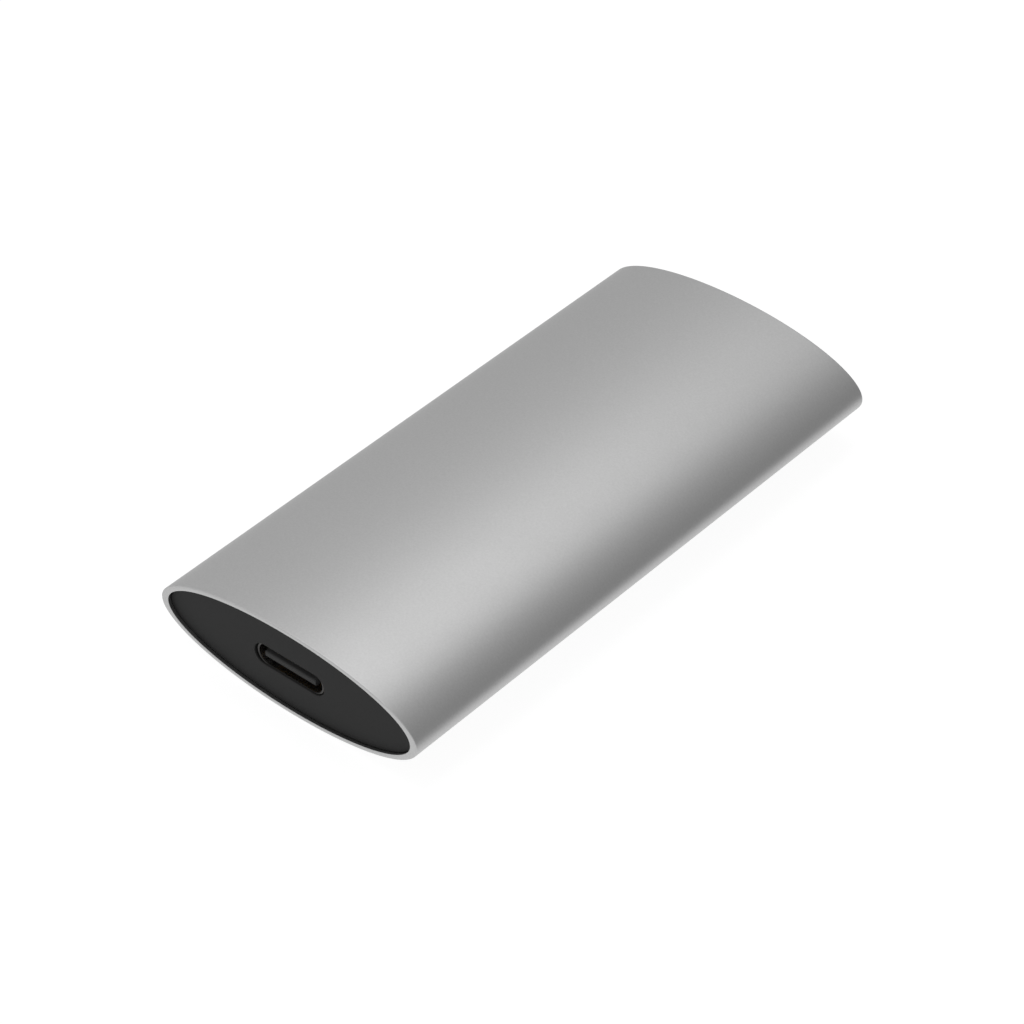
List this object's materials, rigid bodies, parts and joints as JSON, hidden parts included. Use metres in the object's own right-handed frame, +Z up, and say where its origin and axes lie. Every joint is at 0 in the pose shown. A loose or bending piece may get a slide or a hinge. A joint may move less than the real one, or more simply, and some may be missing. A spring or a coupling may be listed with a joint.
{
  "type": "external solid state drive",
  "caption": "Slim pocket drive: an elliptical aluminium sleeve with a dark recessed cap at each end and a reversible data port in the front cap.",
  "frame": {"origin": "on the surface the drive lies on, under the middle of its length and width", "axes": "+Y along the length from the port end to the rear end, +X across the width, +Z up"},
  "size_m": [0.034, 0.0712, 0.0106],
  "materials": {
    "anodised_aluminium": "satin, bead blasted and clear anodised",
    "cap_plastic": "matte, fine moulded texture",
    "tray_plastic": "matte, moulded",
    "board_laminate": "satin solder mask over woven glass laminate",
    "connector_steel": "drawn sheet, plated",
    "connector_resin": "matte, moulded",
    "contact_gold": "plated, bright",
    "chip_resin": "matte, transfer moulded",
    "pressed_ferrite": "matte, pressed powder",
    "capacitor_ceramic": "satin, fired",
    "thermal_silicone": "matte, soft"
  },
  "bodies": {
    "root": {"housing_sleeve": "anodised_aluminium", "front_cap": "cap_plastic", "rear_cap": "cap_plastic", "carrier_tray": "tray_plastic", "bridge_board": "board_laminate", "memory_board": "board_laminate", "port_shell": "connector_steel", "port_mid_plate": "connector_steel", "module_screw": "connector_steel", "board_screws": "connector_steel", "clock_crystal": "connector_steel", "port_insulator": "connector_resin", "edge_socket": "connector_resin", "port_contacts": "contact_gold", "edge_socket_contacts": "contact_gold", "threaded_insert": "contact_gold", "bridge_chip": "chip_resin", "power_regulator": "chip_resin", "memory_controller": "chip_resin", "flash_chip_front": "chip_resin", "flash_chip_rear": "chip_resin", "power_inductor": "pressed_ferrite", "bridge_capacitors": "capacitor_ceramic", "memory_capacitors": "capacitor_ceramic", "thermal_pad": "thermal_silicone"}
  },
  "joints": []
}
